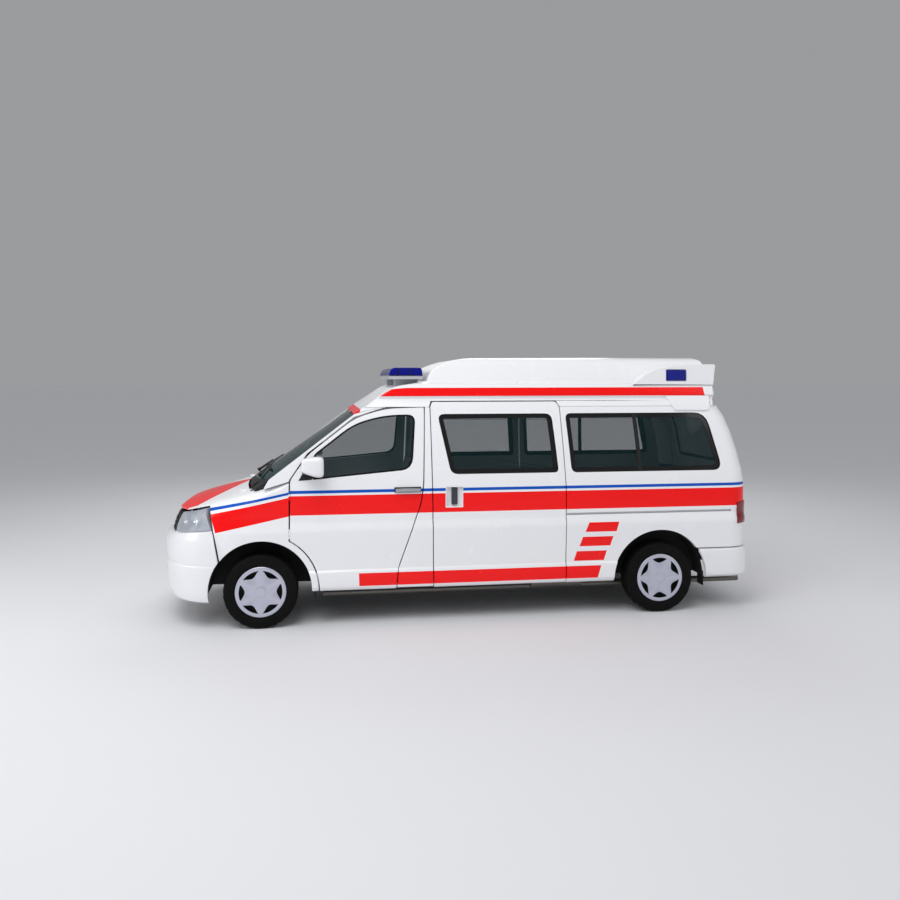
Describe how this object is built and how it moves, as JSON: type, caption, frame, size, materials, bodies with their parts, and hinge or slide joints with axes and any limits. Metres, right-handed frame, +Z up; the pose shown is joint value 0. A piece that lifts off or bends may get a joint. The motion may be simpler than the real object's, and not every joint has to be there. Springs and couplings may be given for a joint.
{
  "type": "ambulance",
  "caption": "High-roof van ambulance with front light bar, rear roof lamp pods, side sliding doors, hinged cab doors, tailgate and hood, steered front wheels.",
  "frame": {"origin": "on the ground under the middle of the overall box", "axes": "+X to the rear, +Y to the vehicle's right, +Z up"},
  "size_m": [5.155, 2.1102, 2.2293],
  "materials": {
    "underbody_dark": "satin",
    "body_white": "gloss",
    "bumper_white": "gloss",
    "lightbar_grey": "satin",
    "lens_blue": "clear lens",
    "glass_tint": "tinted",
    "trim_dark": "grained",
    "lamp_clear": "clear lens",
    "lens_red": "lens",
    "rubber_black": "matt",
    "steel": "satin",
    "tank_black": "matt",
    "cast_grey": "cast",
    "chassis_black": "satin",
    "dash_grey": "grained",
    "seat_fabric": "woven",
    "stretcher_frame": "satin",
    "tyre": "matt",
    "wheel_silver": "painted"
  },
  "bodies": {
    "body": {"underbody": "underbody_dark", "body_sides": "body_white", "raised_roof": "body_white", "roof_pods": "body_white", "light_bar": "lightbar_grey", "blue_lenses": "lens_blue", "windshield": "glass_tint", "side_windows": "glass_tint", "sliding_doors": "body_white", "sliding_door_handles": "trim_dark", "front_fenders": "body_white", "front_bumper": "bumper_white", "rear_bumper": "bumper_white", "grille": "trim_dark", "headlamps": "lamp_clear", "tail_lamps": "lens_red", "cowl": "trim_dark", "wipers": "trim_dark", "mud_flaps": "rubber_black", "exhaust": "steel", "fuel_tank": "tank_black", "engine": "cast_grey", "front_suspension": "chassis_black", "rear_axle": "chassis_black", "dashboard": "dash_grey", "seats": "seat_fabric", "stretcher": "stretcher_frame"},
    "hood": {"hood": "body_white"},
    "tailgate": {"tailgate": "body_white", "tailgate_glass": "glass_tint"},
    "door_left": {"front_door_left": "body_white", "front_door_left_glass": "glass_tint", "front_door_left_trim": "bumper_white"},
    "door_right": {"front_door_right": "body_white", "front_door_right_glass": "glass_tint", "front_door_right_trim": "bumper_white"},
    "knuckle_left": {"knuckle_left": "cast_grey"},
    "knuckle_right": {"knuckle_right": "cast_grey"},
    "steering_wheel": {"steering_wheel": "dash_grey"},
    "road_wheel_front_left": {"tyre_front_left": "tyre", "wheel_front_left": "wheel_silver"},
    "road_wheel_front_right": {"tyre_front_right": "tyre", "wheel_front_right": "wheel_silver"},
    "road_wheel_rear_left": {"tyre_rear_left": "tyre", "wheel_rear_left": "wheel_silver"},
    "road_wheel_rear_right": {"tyre_rear_right": "tyre", "wheel_rear_right": "wheel_silver"}
  },
  "joints": [
    {"name": "wheel_front_left_spin", "type": "hinge", "parent": "knuckle_left", "child": "road_wheel_front_left", "pos_m": [-1.7275, -0.772, 0.3], "axis": [0, 1, 0], "continuous": true},
    {"name": "wheel_front_right_spin", "type": "hinge", "parent": "knuckle_right", "child": "road_wheel_front_right", "pos_m": [-1.7275, 0.772, 0.3], "axis": [0, 1, 0], "continuous": true},
    {"name": "wheel_rear_left_spin", "type": "hinge", "parent": "body", "child": "road_wheel_rear_left", "pos_m": [1.6725, -0.772, 0.3], "axis": [0, 1, 0], "continuous": true},
    {"name": "wheel_rear_right_spin", "type": "hinge", "parent": "body", "child": "road_wheel_rear_right", "pos_m": [1.6725, 0.772, 0.3], "axis": [0, 1, 0], "continuous": true},
    {"name": "steer_left", "type": "hinge", "parent": "body", "child": "knuckle_left", "pos_m": [-1.7275, -0.7, 0.3], "axis": [0, 0, 1], "range_deg": [-35, 35]},
    {"name": "steer_right", "type": "hinge", "parent": "body", "child": "knuckle_right", "pos_m": [-1.7275, 0.7, 0.3], "axis": [0, 0, 1], "range_deg": [-35, 35]},
    {"name": "steering_wheel_turn", "type": "hinge", "parent": "body", "child": "steering_wheel", "pos_m": [-1.15767, -0.38, 1.00594], "axis": [0.8829, 0, 0.4695], "range_deg": [-490, 490]},
    {"name": "door_left_hinge", "type": "hinge", "parent": "body", "child": "door_left", "pos_m": [-1.498, -0.893, 0.925], "axis": [0, 0, -1], "range_deg": [0, 65]},
    {"name": "door_right_hinge", "type": "hinge", "parent": "body", "child": "door_right", "pos_m": [-1.498, 0.893, 0.925], "axis": [0, 0, 1], "range_deg": [0, 65]},
    {"name": "hood_hinge", "type": "hinge", "parent": "body", "child": "hood", "pos_m": [-1.7995, 0, 1.098], "axis": [0, 1, 0], "range_deg": [0, 45]},
    {"name": "tailgate_hinge", "type": "hinge", "parent": "body", "child": "tailgate", "pos_m": [2.3075, 0, 1.78], "axis": [0, -1, 0], "range_deg": [0, 85]}
  ],
  "couplings": [
    {"joint": "steer_right", "follows": "steer_left", "ratio": 1},
    {"joint": "steering_wheel_turn", "follows": "steer_left", "ratio": 14}
  ]
}
